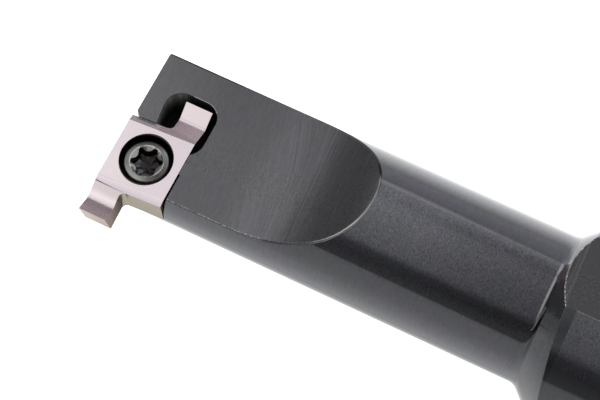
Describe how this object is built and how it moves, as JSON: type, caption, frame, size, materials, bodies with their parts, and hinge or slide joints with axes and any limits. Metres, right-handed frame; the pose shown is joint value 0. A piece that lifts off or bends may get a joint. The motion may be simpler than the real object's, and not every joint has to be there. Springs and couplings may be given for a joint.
{
  "type": "grooving tool holder",
  "caption": "Internal grooving tool holder: round flatted shank, thin offset neck, and a side pocket where a countersunk screw clamps a double ended S shaped insert.",
  "frame": {"origin": "centre of the shank's rear face, on the shank's axis", "axes": "+X along the shank's axis towards the cutting head, +Z square to the clamping flats, +Y towards the side where the insert cuts; the holder lies on its lower flat"},
  "size_m": [0.1503, 0.0232, 0.02],
  "materials": {
    "holder_steel": "dark burnished steel, satin, with fine turning and milling marks",
    "insert_coating": "thin pink lilac coating on ground carbide, satin",
    "screw_steel": "blackened steel with worn bright rim"
  },
  "bodies": {
    "holder": {"holder_body": "holder_steel", "grooving_insert": "insert_coating"},
    "screw": {"clamp_screw": "screw_steel"}
  },
  "joints": [
    {"name": "screw_travel", "type": "slide", "parent": "holder", "child": "screw", "axis": [0, 0.2419, 0.9703], "range_m": [0, 0.005]}
  ]
}
